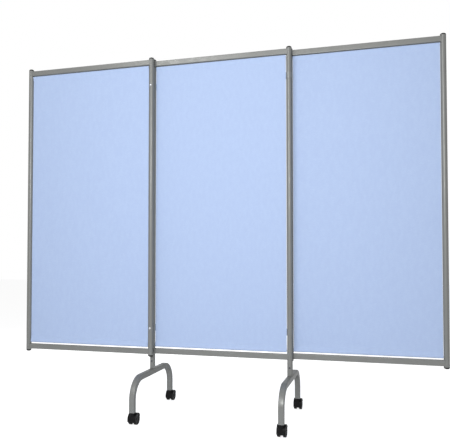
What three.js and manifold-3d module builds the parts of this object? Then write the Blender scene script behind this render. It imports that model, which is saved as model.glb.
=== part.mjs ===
// Ward privacy screen on wheels, in millimetres. X runs along the screen, -Y is its front side,
// +Z is up and the floor is Z = 0. The middle panel hangs between two leg posts that stand on
// arched feet with twin wheel casters. A side panel swings on clips round each leg post, the left
// one in front of its post and the right one behind, so that the screen folds flat like a Z.

import * as THREE from 'three';
import { mergeVertices } from 'three/addons/utils/BufferGeometryUtils.js';
import Module from 'manifold-3d';

const wasm = await Module();
wasm.setup();

// Gaps between pieces that touch, and the overrun of every cut
const SEAT_GAP = 0.3;
const RUNNING_GAP = 0.3;
const CUT_OVERRUN = 2;

// Panel frames
const PANEL_PITCH = 676;
const FRAME_HEIGHT = 1438;
const FRAME_BASE = 288;
const STILE_DIAMETER = 25.4;
const STILE_WALL = 1.5;
const STILE_OVERRUN = 10.5;
const RAIL_SIDE = 22;
const RAIL_WALL = 1.5;
const RAIL_CORNER = 2.5;
const LEG_DIAMETER = 25.4;
const LEG_WALL = 1.5;

// Domed caps and plugs in the ends of the round tubes
const CAP_DOME = 4.2;
const CAP_LIP = 1;
const CAP_SHANK = 13;
const CAP_BORE_DEPTH = 9;
const CAP_SHELL = 1.8;

// Curtains, stretched between a rod in a top pocket and a rod in a bottom pocket
const CURTAIN_THICKNESS = 1;
const CURTAIN_EDGE_GAP = 1;
const ROD_DIAMETER = 8;
const ROD_ENTRY = 5;
const TOP_POCKET_GAP = 3;
const BOTTOM_POCKET_GAP = 9;
const POCKET_DEPTH = 22;
const HEM_TAIL = 6;

// Hinge clips, screwed to the inner stile of a side panel and turning on the leg post
const CLIP_HEIGHT = 30;
const CLIP_INSET = 124;
const CLIP_WALL = 1.5;
const CLIP_WEB = 2;
const CLIP_WEB_WIDTH = 18;
const CLIP_WING_ANGLE = 55;

// Arched feet, each with a spigot that the leg post slides over
const FOOT_TUBE_SIDE = 25.4;
const FOOT_TUBE_WALL = 1.5;
const FOOT_TUBE_CORNER = 4;
const FOOT_SPREAD = 480;
const FOOT_BAR_HEIGHT = 200;
const FOOT_BEND_RADIUS = 90;
const SPIGOT_ROD_GAP = 12;
const SPIGOT_WALL = 1.5;
const SPIGOT_WELD_DEPTH = 1.4;

// Snap buttons on hairpin leaf springs, locking the leg posts to the spigots
const BUTTON_DIAMETER = 8;
const BUTTON_RISE = 37.3;
const BUTTON_PROTRUSION = 2.5;
const BUTTON_CROWN = 1.2;
const LEAF_WIDTH = 8;
const LEAF_THICKNESS = 0.8;
const LEAF_BEND_RADIUS = 3;
const LEAF_RISE = 12;
const LEAF_DROP = 22;
const LEAF_BACK_RISE = 26;

// Twin wheel casters
const WHEEL_RADIUS = 25;
const WHEEL_WIDTH = 13;
const WHEEL_SHOULDER = 2;
const WHEEL_RIM = 4.5;
const WHEEL_DISH_DEPTH = 4;
const WHEEL_HUB_RADIUS = 6.5;
const WHEEL_SIDE_GAP = 0.5;
const AXLE_DIAMETER = 6;
const AXLE_PROTRUSION = 2;
const CASTER_TRAIL = 17;
const CORE_WIDTH = 12;
const CORE_DISC_RADIUS = 19;
const HOOD_CLEARANCE = 1.5;
const HOOD_SHELL = 2;
const HOOD_OVERHANG = 0.5;
const HOOD_REAR_ANGLE = 20;
const HOOD_FRONT_ANGLE = 200;
const BOSS_DIAMETER = 22;
const BOSS_HEIGHT = 1.8;
const STEM_DIAMETER = 8;
const STEM_DEPTH = 21;
const STEM_LENGTH = 66;
const SLEEVE_LENGTH = 36;
const COLLAR_THICKNESS = 1.2;

// Facets: whole circles first, then the steps of a bend and a dome, and the facet pairs of drawn arcs
const TUBE_SEGMENTS = 24;
const CAP_SEGMENTS = 16;
const ROD_SEGMENTS = 10;
const WHEEL_SEGMENTS = 18;
const BEND_SEGMENTS = 6;
const DOME_STEPS = 2;
const HOOD_ARC_PAIRS = 9;
const POCKET_ARC_PAIRS = 5;
const FOOT_CORNER_PAIRS = 2;
const SMALL_CORNER_PAIRS = 1;

// Sizes and places that follow from the values above
const STILE_RADIUS = STILE_DIAMETER / 2;
const LEG_RADIUS = LEG_DIAMETER / 2;
const ROD_RADIUS = ROD_DIAMETER / 2;
const FRAME_TOP = FRAME_BASE + FRAME_HEIGHT;
const STILE_BOTTOM = FRAME_BASE - STILE_OVERRUN;
const STILE_TOP = FRAME_TOP + STILE_OVERRUN;
const STACK_SPACING = LEG_RADIUS + RUNNING_GAP + CLIP_WEB + SEAT_GAP + STILE_RADIUS;
const POST_EDGE_GAP = RUNNING_GAP + CLIP_WALL + SEAT_GAP;
const POCKET_RADIUS = ROD_RADIUS + SEAT_GAP + CURTAIN_THICKNESS;
const TOP_ROD_HEIGHT = FRAME_TOP - RAIL_SIDE - TOP_POCKET_GAP - POCKET_RADIUS;
const BOTTOM_ROD_HEIGHT = FRAME_BASE + RAIL_SIDE + BOTTOM_POCKET_GAP + POCKET_RADIUS;
const AXLE_HEIGHT = WHEEL_RADIUS;
const HOOD_INNER_RADIUS = WHEEL_RADIUS + HOOD_CLEARANCE;
const HOOD_RADIUS = HOOD_INNER_RADIUS + HOOD_SHELL;
const HOOD_WIDTH = CORE_WIDTH + 2 * (WHEEL_SIDE_GAP + WHEEL_WIDTH + HOOD_OVERHANG);
const HOUSING_TOP = AXLE_HEIGHT + HOOD_RADIUS + BOSS_HEIGHT;
const FOOT_TUBE_BOTTOM = HOUSING_TOP + RUNNING_GAP + COLLAR_THICKNESS + SEAT_GAP;
const FOOT_BAR_TOP = FOOT_BAR_HEIGHT + FOOT_TUBE_SIDE / 2;
const BUTTON_HEIGHT = FOOT_BAR_TOP + BUTTON_RISE;
const SPIGOT_RADIUS = LEG_RADIUS - LEG_WALL - SEAT_GAP;
const SPIGOT_TOP = BOTTOM_ROD_HEIGHT - ROD_RADIUS - SPIGOT_ROD_GAP;

// The casters trail to the rear, so the screen stands forward of the middle of its footprint
const FRONT_REACH = HOOD_RADIUS - CASTER_TRAIL;
const REAR_REACH = HOOD_RADIUS * Math.cos(THREE.MathUtils.degToRad(HOOD_REAR_ANGLE)) + CASTER_TRAIL;
const SCREEN_Y = (FRONT_REACH - REAR_REACH) / 2;

const MATERIALS = {
  frame: new THREE.MeshStandardMaterial({ color: 0x9a9c9b, roughness: 0.42, metalness: 0.25 }),
  clip: new THREE.MeshStandardMaterial({ color: 0x8e9090, roughness: 0.45, metalness: 0.3 }),
  steel: new THREE.MeshStandardMaterial({ color: 0xb8babc, roughness: 0.3, metalness: 0.9 }),
  spring: new THREE.MeshStandardMaterial({ color: 0x4a4b4d, roughness: 0.35, metalness: 0.9 }),
  cap: new THREE.MeshStandardMaterial({ color: 0x33332f, roughness: 0.5, metalness: 0 }),
  fabric: new THREE.MeshStandardMaterial({ color: 0xb9cdf2, roughness: 0.9, metalness: 0 }),
  caster: new THREE.MeshStandardMaterial({ color: 0x141416, roughness: 0.45, metalness: 0 }),
  tread: new THREE.MeshStandardMaterial({ color: 0x1c1c1e, roughness: 0.6, metalness: 0 }),
};

function part(name, material, geometry) {
  const mesh = new THREE.Mesh(geometry, MATERIALS[material].clone());
  mesh.name = name;
  return mesh;
}

function placed(object, x, y, z) {
  object.position.set(x, y, z);
  return object;
}

// Closed mesh to solid, and back again, for cuts and joins
function solidOf(geometry) {
  const bare = geometry.clone();
  bare.deleteAttribute('normal');
  bare.deleteAttribute('uv');
  const merged = mergeVertices(bare);
  const corners = [];
  for (let i = 0; i < merged.index.count; i += 3) {
    const [a, b, c] = [merged.index.getX(i), merged.index.getX(i + 1), merged.index.getX(i + 2)];
    if (a !== b && b !== c && c !== a) corners.push(a, b, c);
  }
  const vertProperties = new Float32Array(merged.attributes.position.array);
  return new wasm.Manifold(new wasm.Mesh({ numProp: 3, vertProperties, triVerts: new Uint32Array(corners) }));
}

function geometryOf(solid) {
  const mesh = solid.getMesh();
  const geometry = new THREE.BufferGeometry();
  geometry.setAttribute('position', new THREE.BufferAttribute(mesh.vertProperties, 3));
  geometry.setIndex(new THREE.BufferAttribute(mesh.triVerts, 1));
  geometry.computeVertexNormals();
  return geometry;
}

// A profile of [radius, height] pairs, listed upwards on the outside, turned round Z
function turned(profile, segments, start = 0) {
  const points = profile.map(([radius, height]) => new THREE.Vector2(radius, height));
  return new THREE.LatheGeometry(points, segments, start, 2 * Math.PI).rotateX(Math.PI / 2);
}

function roundTube(radius, wall, bottom, top) {
  const bore = radius - wall;
  const profile = [[bore, bottom], [radius, bottom], [radius, top], [bore, top], [bore, bottom]];
  return turned(profile, TUBE_SEGMENTS);
}

function roundBar(radius, bottom, top, segments) {
  return turned([[0, bottom], [radius, bottom], [radius, top], [0, top]], segments);
}

// A bar along X, and a bar along Y
function barX(radius, from, to, segments) {
  return roundBar(radius, from, to, segments).rotateY(Math.PI / 2);
}

function barY(radius, from, to, segments) {
  return roundBar(radius, from, to, segments).rotateX(-Math.PI / 2);
}

function roundedSquare(path, side, corner) {
  const flat = side / 2 - corner;
  path.moveTo(side / 2, -flat);
  path.lineTo(side / 2, flat);
  path.absarc(flat, flat, corner, 0, Math.PI / 2, false);
  path.lineTo(-flat, side / 2);
  path.absarc(-flat, flat, corner, Math.PI / 2, Math.PI, false);
  path.lineTo(-side / 2, -flat);
  path.absarc(-flat, -flat, corner, Math.PI, 1.5 * Math.PI, false);
  path.lineTo(flat, -side / 2);
  path.absarc(flat, -flat, corner, 1.5 * Math.PI, 2 * Math.PI, false);
  return path;
}

// The bore gets the coarser corners, because nothing shows it but the tube's ends
function squareTubeShape(side, wall, corner) {
  const shape = roundedSquare(new THREE.Shape(), side, corner);
  const bore = roundedSquare(new THREE.Path(), side - 2 * wall, corner - wall);
  shape.holes.push(new THREE.Path(bore.getPoints(SMALL_CORNER_PAIRS)));
  return shape;
}

// An outline drawn in Y and Z, pushed out along X
function extrudedX(shape, from, to, curveSegments) {
  const options = { depth: to - from, bevelEnabled: false, curveSegments };
  const geometry = new THREE.ExtrudeGeometry(shape, options);
  const basis = new THREE.Matrix4().set(0, 0, 1, from, 1, 0, 0, 0, 0, 1, 0, 0, 0, 0, 0, 1);
  return geometry.applyMatrix4(basis);
}

// An outline drawn in X and Y, pushed up along Z
function extrudedZ(shape, from, to, curveSegments) {
  const options = { depth: to - from, bevelEnabled: false, curveSegments };
  return new THREE.ExtrudeGeometry(shape, options).translate(0, 0, from);
}

// Stile: a round tube with a hole for each rod on the side that faces the curtain
function stile(rodSide) {
  let tube = solidOf(roundTube(STILE_RADIUS, STILE_WALL, STILE_BOTTOM, STILE_TOP));
  for (const height of [TOP_ROD_HEIGHT, BOTTOM_ROD_HEIGHT]) {
    tube = tube.subtract(solidOf(rodHole(STILE_RADIUS, rodSide, height)));
  }
  return geometryOf(tube);
}

function rodHole(radius, side, height) {
  const reach = radius + CUT_OVERRUN;
  const hole = barX(ROD_RADIUS + RUNNING_GAP, 0, reach, ROD_SEGMENTS);
  if (side < 0) hole.rotateZ(Math.PI);
  return hole.translate(0, 0, height);
}

// Leg post: a longer tube, notched at its foot to sit on the round corners of the foot's bar
function legPost(rodSide) {
  let tube = solidOf(roundTube(LEG_RADIUS, LEG_WALL, FOOT_BAR_HEIGHT, STILE_TOP));
  for (const height of [TOP_ROD_HEIGHT, BOTTOM_ROD_HEIGHT]) {
    tube = tube.subtract(solidOf(rodHole(LEG_RADIUS, rodSide, height)));
  }
  const notch = roundedSquare(new THREE.Shape(), FOOT_TUBE_SIDE + 2 * SEAT_GAP, FOOT_TUBE_CORNER + SEAT_GAP);
  const reach = LEG_RADIUS + CUT_OVERRUN;
  const bar = extrudedZ(notch, -reach, reach, FOOT_CORNER_PAIRS).rotateX(Math.PI / 2);
  tube = tube.subtract(solidOf(bar.translate(0, 0, FOOT_BAR_HEIGHT)));
  return geometryOf(tube.subtract(solidOf(buttonHole())));
}

function buttonHole() {
  const hole = barY(BUTTON_DIAMETER / 2 + RUNNING_GAP, -LEG_RADIUS - CUT_OVERRUN, 0, ROD_SEGMENTS);
  return hole.translate(0, 0, BUTTON_HEIGHT);
}

// Rail: square tube along X between the axes of two round tubes, its ends notched to fit them
function rail(postRadius) {
  const section = squareTubeShape(RAIL_SIDE, RAIL_WALL, RAIL_CORNER);
  let tube = solidOf(extrudedX(section, 0, PANEL_PITCH, SMALL_CORNER_PAIRS));
  for (const x of [0, PANEL_PITCH]) {
    const post = roundBar(postRadius + SEAT_GAP, -RAIL_SIDE, RAIL_SIDE, TUBE_SEGMENTS).translate(x, 0, 0);
    tube = tube.subtract(solidOf(post));
  }
  return geometryOf(tube.decompose().sort((a, b) => b.volume() - a.volume())[0]);
}

function rod(postRadius) {
  const end = postRadius - ROD_ENTRY;
  return barX(ROD_RADIUS, end, PANEL_PITCH - end, ROD_SEGMENTS);
}

// Cap: a domed head over a hollow shank that plugs the tube, opening downwards
function cap(tubeRadius, tubeWall) {
  const shank = tubeRadius - tubeWall - SEAT_GAP;
  const bore = shank - CAP_SHELL;
  const profile = [
    [0, CAP_BORE_DEPTH - CAP_SHANK], [bore, CAP_BORE_DEPTH - CAP_SHANK], [bore, -CAP_SHANK],
    [shank, -CAP_SHANK], [shank, SEAT_GAP], [tubeRadius, SEAT_GAP], [tubeRadius, SEAT_GAP + CAP_LIP],
  ];
  for (let step = 1; step <= DOME_STEPS; step += 1) {
    const turn = (step / DOME_STEPS) * (Math.PI / 2);
    const rise = Math.sin(turn) * (CAP_DOME - CAP_LIP);
    profile.push([step === DOME_STEPS ? 0 : tubeRadius * Math.cos(turn), SEAT_GAP + CAP_LIP + rise]);
  }
  return turned(profile, CAP_SEGMENTS);
}

// Curtain: one sheet with a sewn rod pocket at each end, its hem tails on the rear side
function pocketLoop(path, radius, height, up) {
  const from = up > 0 ? 0 : Math.PI;
  path.absarc(0, height, radius, from, from + Math.PI, false);
}

function pocketHole(height, up) {
  const inner = POCKET_RADIUS - CURTAIN_THICKNESS;
  const hole = new THREE.Path();
  hole.moveTo(up * inner, height);
  pocketLoop(hole, inner, height, up);
  hole.lineTo(CURTAIN_THICKNESS / 2, height - up * (POCKET_DEPTH - 2 * CURTAIN_THICKNESS));
  hole.closePath();
  return hole;
}

function curtain(edge) {
  const half = CURTAIN_THICKNESS / 2;
  const tail = half + CURTAIN_THICKNESS;
  const [low, high] = [BOTTOM_ROD_HEIGHT, TOP_ROD_HEIGHT];
  const shape = new THREE.Shape();
  shape.moveTo(-half, low + POCKET_DEPTH);
  shape.lineTo(-POCKET_RADIUS, low);
  pocketLoop(shape, POCKET_RADIUS, low, -1);
  shape.lineTo(tail, low + POCKET_DEPTH);
  shape.lineTo(tail, low + POCKET_DEPTH + HEM_TAIL);
  shape.lineTo(half, low + POCKET_DEPTH + HEM_TAIL);
  shape.lineTo(half, high - POCKET_DEPTH - HEM_TAIL);
  shape.lineTo(tail, high - POCKET_DEPTH - HEM_TAIL);
  shape.lineTo(tail, high - POCKET_DEPTH);
  shape.lineTo(POCKET_RADIUS, high);
  pocketLoop(shape, POCKET_RADIUS, high, 1);
  shape.lineTo(-half, high - POCKET_DEPTH);
  shape.closePath();
  shape.holes.push(pocketHole(high, 1), pocketHole(low, -1));
  return extrudedX(shape, edge, PANEL_PITCH - edge, POCKET_ARC_PAIRS);
}

// Hinge clip: a ring round the leg post at the origin, and a saddle behind the stile in front of it
function hingeClip() {
  const saddleRadius = STILE_RADIUS + SEAT_GAP + CLIP_WALL;
  const ring = roundBar(LEG_RADIUS + RUNNING_GAP + CLIP_WALL, 0, CLIP_HEIGHT, TUBE_SEGMENTS);
  const saddle = roundBar(saddleRadius, 0, CLIP_HEIGHT, TUBE_SEGMENTS).translate(0, -STACK_SPACING, 0);
  const wingFoot = -STACK_SPACING + STILE_RADIUS * Math.cos(THREE.MathUtils.degToRad(CLIP_WING_ANGLE));
  const keep = new THREE.BoxGeometry(2 * saddleRadius, -wingFoot, CLIP_HEIGHT);
  keep.translate(0, wingFoot / 2, CLIP_HEIGHT / 2);
  const webDepth = CLIP_WEB + 2 * CLIP_WALL;
  const web = new THREE.BoxGeometry(CLIP_WEB_WIDTH, webDepth, CLIP_HEIGHT);
  web.translate(0, -LEG_RADIUS - RUNNING_GAP - CLIP_WEB / 2, CLIP_HEIGHT / 2);
  let clip = solidOf(ring).add(solidOf(saddle).intersect(solidOf(keep))).add(solidOf(web));
  const postBore = roundBar(LEG_RADIUS + RUNNING_GAP, -CUT_OVERRUN, CLIP_HEIGHT + CUT_OVERRUN, TUBE_SEGMENTS);
  const stileBore = roundBar(STILE_RADIUS + SEAT_GAP, -CUT_OVERRUN, CLIP_HEIGHT + CUT_OVERRUN, TUBE_SEGMENTS);
  clip = clip.subtract(solidOf(postBore)).subtract(solidOf(stileBore.translate(0, -STACK_SPACING, 0)));
  return geometryOf(clip);
}

// Foot: one square tube bent into an arch across the screen, with the spigot welded on its bar.
// One step for each upright, one for the bar between the bends, and the steps of both bends.
const ARCH_STEPS = 2 * BEND_SEGMENTS + 3;

class ArchPath extends THREE.Curve {
  getUtoTmapping(u) {
    return u;
  }

  getPoint(t, target = new THREE.Vector3()) {
    const station = t * ARCH_STEPS;
    const mirrored = station > ARCH_STEPS / 2;
    const run = mirrored ? ARCH_STEPS - station : station;
    const centreY = FOOT_SPREAD / 2 - FOOT_BEND_RADIUS;
    const centreZ = FOOT_BAR_HEIGHT - FOOT_BEND_RADIUS;
    let out = centreY + FOOT_BEND_RADIUS;
    let height = FOOT_TUBE_BOTTOM + Math.min(run, 1) * (centreZ - FOOT_TUBE_BOTTOM);
    if (run > 1) {
      const turn = (Math.min(run - 1, BEND_SEGMENTS) / BEND_SEGMENTS) * (Math.PI / 2);
      out = centreY + FOOT_BEND_RADIUS * Math.cos(turn);
      height = centreZ + FOOT_BEND_RADIUS * Math.sin(turn);
    }
    if (run > BEND_SEGMENTS + 1) out = centreY * (1 - 2 * (run - BEND_SEGMENTS - 1));
    return target.set(0, mirrored ? out : -out, height);
  }
}

function footArch() {
  const section = squareTubeShape(FOOT_TUBE_SIDE, FOOT_TUBE_WALL, FOOT_TUBE_CORNER);
  const extrudePath = new ArchPath();
  const options = { steps: ARCH_STEPS, extrudePath, curveSegments: FOOT_CORNER_PAIRS };
  const tube = new THREE.ExtrudeGeometry(section, options);
  const spigotFoot = FOOT_BAR_TOP - SPIGOT_WELD_DEPTH;
  const spigot = roundTube(SPIGOT_RADIUS, SPIGOT_WALL, spigotFoot, SPIGOT_TOP);
  return geometryOf(solidOf(tube).add(solidOf(spigot)).subtract(solidOf(buttonHole())));
}

// Snap button: a crowned stud on a hairpin leaf that lies inside the spigot
function snapButton() {
  const bore = SPIGOT_RADIUS - SPIGOT_WALL;
  const face = Math.sqrt(bore ** 2 - (LEAF_WIDTH / 2) ** 2) - SEAT_GAP;
  const tip = LEG_RADIUS + BUTTON_PROTRUSION;
  const radius = BUTTON_DIAMETER / 2;
  const profile = [
    [0, face - LEAF_THICKNESS / 2], [radius, face - LEAF_THICKNESS / 2], [radius, tip - BUTTON_CROWN],
    [radius - BUTTON_CROWN / 2, tip - BUTTON_CROWN / 3], [radius / 2, tip], [0, tip],
  ];
  const stud = turned(profile, ROD_SEGMENTS).rotateX(Math.PI / 2);
  const leaf = extrudedX(leafShape(-face), -LEAF_WIDTH / 2, LEAF_WIDTH / 2, FOOT_CORNER_PAIRS);
  return geometryOf(solidOf(stud).add(solidOf(leaf)));
}

function leafShape(front) {
  const centre = front + LEAF_THICKNESS + LEAF_BEND_RADIUS;
  const shape = new THREE.Shape();
  shape.moveTo(front, LEAF_RISE);
  shape.lineTo(front, -LEAF_DROP);
  shape.absarc(centre, -LEAF_DROP, LEAF_BEND_RADIUS + LEAF_THICKNESS, Math.PI, 2 * Math.PI, false);
  shape.lineTo(centre + LEAF_BEND_RADIUS + LEAF_THICKNESS, LEAF_BACK_RISE - LEAF_DROP);
  shape.lineTo(centre + LEAF_BEND_RADIUS, LEAF_BACK_RISE - LEAF_DROP);
  shape.absarc(centre, -LEAF_DROP, LEAF_BEND_RADIUS, 2 * Math.PI, Math.PI, true);
  shape.lineTo(front + LEAF_THICKNESS, LEAF_RISE);
  shape.closePath();
  return shape;
}

// Caster stem: a steel pin in a sleeve that fills the foot tube, with a collar under the tube's end
function casterStem() {
  const top = HOUSING_TOP + STEM_LENGTH;
  const pin = solidOf(roundBar(STEM_DIAMETER / 2, HOUSING_TOP - STEM_DEPTH + RUNNING_GAP, top, ROD_SEGMENTS));
  const collar = roundedSquare(new THREE.Shape(), FOOT_TUBE_SIDE, FOOT_TUBE_CORNER);
  const collarFoot = HOUSING_TOP + RUNNING_GAP;
  const collarTop = collarFoot + COLLAR_THICKNESS;
  const sleeveInset = FOOT_TUBE_WALL + SEAT_GAP;
  const sleeve = roundedSquare(
    new THREE.Shape(), FOOT_TUBE_SIDE - 2 * sleeveInset, FOOT_TUBE_CORNER - sleeveInset);
  const collarSolid = solidOf(extrudedZ(collar, collarFoot, collarTop, FOOT_CORNER_PAIRS));
  const sleeveSolid = solidOf(extrudedZ(sleeve, collarFoot, collarTop + SLEEVE_LENGTH, SMALL_CORNER_PAIRS));
  return geometryOf(pin.add(collarSolid).add(sleeveSolid));
}

// Caster housing: a hood over both wheels on a core between them, the stem's bore in a boss
function hoodShape() {
  const [rear, front] = [HOOD_REAR_ANGLE, HOOD_FRONT_ANGLE].map(THREE.MathUtils.degToRad);
  const shape = new THREE.Shape();
  shape.moveTo(0, 0);
  shape.lineTo(HOOD_RADIUS * Math.cos(rear), HOOD_RADIUS * Math.sin(rear));
  shape.absarc(0, 0, HOOD_RADIUS, rear, front, false);
  shape.closePath();
  return shape;
}

function casterHousing() {
  const atAxle = (geometry) => solidOf(geometry.translate(0, CASTER_TRAIL, AXLE_HEIGHT));
  const hood = atAxle(extrudedX(hoodShape(), -HOOD_WIDTH / 2, HOOD_WIDTH / 2, HOOD_ARC_PAIRS));
  const disc = atAxle(barX(CORE_DISC_RADIUS, -CORE_WIDTH / 2, CORE_WIDTH / 2, WHEEL_SEGMENTS));
  const boss = solidOf(roundBar(BOSS_DIAMETER / 2, AXLE_HEIGHT, HOUSING_TOP, CAP_SEGMENTS));
  const bore = roundBar(STEM_DIAMETER / 2 + RUNNING_GAP, HOUSING_TOP - STEM_DEPTH, HOUSING_TOP + CUT_OVERRUN,
    ROD_SEGMENTS);
  const axleBore = barX(AXLE_DIAMETER / 2 + RUNNING_GAP, -CORE_WIDTH, CORE_WIDTH, ROD_SEGMENTS);
  let housing = hood.add(disc).add(boss);
  for (const side of [-1, 1]) {
    const chamber = barX(HOOD_INNER_RADIUS, CORE_WIDTH / 2, HOOD_WIDTH, TUBE_SEGMENTS);
    if (side < 0) chamber.rotateZ(Math.PI);
    housing = housing.subtract(atAxle(chamber));
  }
  return geometryOf(housing.subtract(solidOf(bore)).subtract(atAxle(axleBore)));
}

// Wheel: a rounded tread with a dished outer face towards +X, its hub bored for the axle
function casterWheel() {
  const facet = Math.cos(Math.PI / WHEEL_SEGMENTS);
  const outside = WHEEL_RADIUS / facet;
  const bore = AXLE_DIAMETER / 2 + RUNNING_GAP;
  const dish = WHEEL_WIDTH - WHEEL_DISH_DEPTH;
  const profile = [
    [bore, 0], [outside - WHEEL_SHOULDER, 0], [outside, WHEEL_SHOULDER],
    [outside, WHEEL_WIDTH - WHEEL_SHOULDER], [outside - WHEEL_SHOULDER, WHEEL_WIDTH],
    [outside - WHEEL_RIM, WHEEL_WIDTH],
    [WHEEL_HUB_RADIUS, dish], [bore, dish], [bore, 0],
  ];
  return turned(profile, WHEEL_SEGMENTS, Math.PI / WHEEL_SEGMENTS).rotateY(Math.PI / 2);
}

function caster(name) {
  const group = new THREE.Group();
  const wheelInset = CORE_WIDTH / 2 + WHEEL_SIDE_GAP;
  const axleHalf = wheelInset + WHEEL_WIDTH - WHEEL_DISH_DEPTH + AXLE_PROTRUSION;
  group.add(part(`${name}_caster_stem`, 'caster', casterStem()));
  group.add(part(`${name}_caster_housing`, 'caster', casterHousing()));
  const axle = barX(AXLE_DIAMETER / 2, -axleHalf, axleHalf, ROD_SEGMENTS);
  group.add(placed(part(`${name}_caster_axle`, 'steel', axle), 0, CASTER_TRAIL, AXLE_HEIGHT));
  const rightWheel = part(`${name}_right_wheel`, 'tread', casterWheel());
  group.add(placed(rightWheel, wheelInset, CASTER_TRAIL, AXLE_HEIGHT));
  const leftWheel = part(`${name}_left_wheel`, 'tread', casterWheel());
  leftWheel.rotation.z = Math.PI;
  group.add(placed(leftWheel, -wheelInset, CASTER_TRAIL, AXLE_HEIGHT));
  return group;
}

// A foot under one leg post, with its button and a caster at each end
function foot(side) {
  const group = new THREE.Group();
  group.add(part(`${side}_foot_arch`, 'frame', footArch()));
  group.add(placed(part(`${side}_snap_button`, 'spring', snapButton()), 0, 0, BUTTON_HEIGHT));
  group.add(placed(caster(`${side}_front`), 0, -FOOT_SPREAD / 2, 0));
  group.add(placed(caster(`${side}_rear`), 0, FOOT_SPREAD / 2, 0));
  return group;
}

// Rails, rods and curtain between two uprights, with the first upright's axis at the origin
function infill(name, postRadius, edgeGap) {
  const group = new THREE.Group();
  const topRail = part(`${name}_top_rail`, 'frame', rail(postRadius));
  const bottomRail = part(`${name}_bottom_rail`, 'frame', rail(postRadius));
  group.add(placed(topRail, 0, 0, FRAME_TOP - RAIL_SIDE / 2));
  group.add(placed(bottomRail, 0, 0, FRAME_BASE + RAIL_SIDE / 2));
  group.add(placed(part(`${name}_top_rod`, 'steel', rod(postRadius)), 0, 0, TOP_ROD_HEIGHT));
  group.add(placed(part(`${name}_bottom_rod`, 'steel', rod(postRadius)), 0, 0, BOTTOM_ROD_HEIGHT));
  group.add(part(`${name}_curtain`, 'fabric', curtain(postRadius + edgeGap)));
  return group;
}

function centrePanel() {
  const group = placed(new THREE.Group(), -PANEL_PITCH / 2, 0, 0);
  group.add(infill('center', LEG_RADIUS, POST_EDGE_GAP));
  for (const [side, x, rodSide] of [['left', 0, 1], ['right', PANEL_PITCH, -1]]) {
    group.add(placed(part(`${side}_leg_post`, 'frame', legPost(rodSide)), x, 0, 0));
    group.add(placed(part(`${side}_leg_cap`, 'cap', cap(LEG_RADIUS, LEG_WALL)), x, 0, STILE_TOP));
    group.add(placed(foot(side), x, 0, 0));
  }
  return group;
}

// Side panel with its inner stile's axis at the origin, running towards -X, its leg post at +Y
function sidePanel(side) {
  const group = new THREE.Group();
  group.add(placed(infill(side, STILE_RADIUS, CURTAIN_EDGE_GAP), -PANEL_PITCH, 0, 0));
  for (const [name, x, rodSide] of [['inner', 0, -1], ['outer', -PANEL_PITCH, 1]]) {
    group.add(placed(part(`${side}_${name}_stile`, 'frame', stile(rodSide)), x, 0, 0));
    const topCap = part(`${side}_${name}_top_cap`, 'cap', cap(STILE_RADIUS, STILE_WALL));
    group.add(placed(topCap, x, 0, STILE_TOP));
    const plug = part(`${side}_${name}_bottom_plug`, 'cap', cap(STILE_RADIUS, STILE_WALL));
    plug.rotation.x = Math.PI;
    group.add(placed(plug, x, 0, STILE_BOTTOM));
  }
  const clipHeights = [['upper', FRAME_TOP - CLIP_INSET], ['lower', FRAME_BASE + CLIP_INSET]];
  for (const [name, height] of clipHeights) {
    const clip = part(`${side}_${name}_hinge_clip`, 'clip', hingeClip());
    group.add(placed(clip, 0, STACK_SPACING, height - CLIP_HEIGHT / 2));
  }
  return group;
}

function privacyScreen() {
  const screen = placed(new THREE.Group(), 0, SCREEN_Y, 0);
  screen.add(centrePanel());
  screen.add(placed(sidePanel('left'), -PANEL_PITCH / 2, -STACK_SPACING, 0));
  const right = placed(sidePanel('right'), PANEL_PITCH / 2, STACK_SPACING, 0);
  right.rotation.z = Math.PI;
  screen.add(right);
  return screen;
}

const assembly = new THREE.Group();
assembly.add(privacyScreen());

export default assembly;
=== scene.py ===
"""Looks of a three panel ward privacy screen on wheels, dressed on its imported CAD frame.

Metres, +Z up. X runs along the screen and -Y is its front side. Every piece takes its place
from the boxes of the CAD nodes, and rides on the body that carries it.
"""

import math

import bmesh
import bpy
from mathutils import Matrix, Vector, noise


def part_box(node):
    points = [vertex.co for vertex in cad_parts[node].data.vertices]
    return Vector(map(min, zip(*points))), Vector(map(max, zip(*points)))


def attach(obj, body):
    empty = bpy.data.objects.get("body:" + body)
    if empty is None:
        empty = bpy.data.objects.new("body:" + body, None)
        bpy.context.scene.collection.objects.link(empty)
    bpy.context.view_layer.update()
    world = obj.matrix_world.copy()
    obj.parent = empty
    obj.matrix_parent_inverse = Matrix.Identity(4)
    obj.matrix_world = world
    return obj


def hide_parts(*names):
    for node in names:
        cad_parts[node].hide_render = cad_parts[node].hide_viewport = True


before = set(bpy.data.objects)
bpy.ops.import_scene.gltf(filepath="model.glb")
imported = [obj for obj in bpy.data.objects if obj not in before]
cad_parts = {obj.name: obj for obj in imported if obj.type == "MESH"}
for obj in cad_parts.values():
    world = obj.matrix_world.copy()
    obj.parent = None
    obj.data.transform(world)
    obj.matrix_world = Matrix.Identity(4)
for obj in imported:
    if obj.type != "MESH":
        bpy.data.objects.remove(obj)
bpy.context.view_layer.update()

MM = 0.001

# Camera of the photograph, fitted to the frame's edges in its 450 by 438 pixels
IMAGE_WIDTH = 450
IMAGE_HEIGHT = 438
SENSOR_WIDTH = 36
CAMERA_PLACE = (0.7596, -2.7233, 0.7534)
CAMERA_YAW = -0.2793
CAMERA_PITCH = 0.0312
CAMERA_ROLL = 0.0003
FOCAL_PIXELS = 588.99
AXIS_PIXEL_X = 215.69
AXIS_PIXEL_Y = 239.44

FAR_CLIP = 60

# Facets of the round forms
TUBE_SEGMENTS = 72
CAP_SEGMENTS = 48
CASTER_SEGMENTS = 64
SMALL_SEGMENTS = 32
CORNER_STEPS = 6
DOME_STEPS = 8

# Edges sharper than this many degrees stay sharp
SHARP_ANGLE = 32

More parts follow.
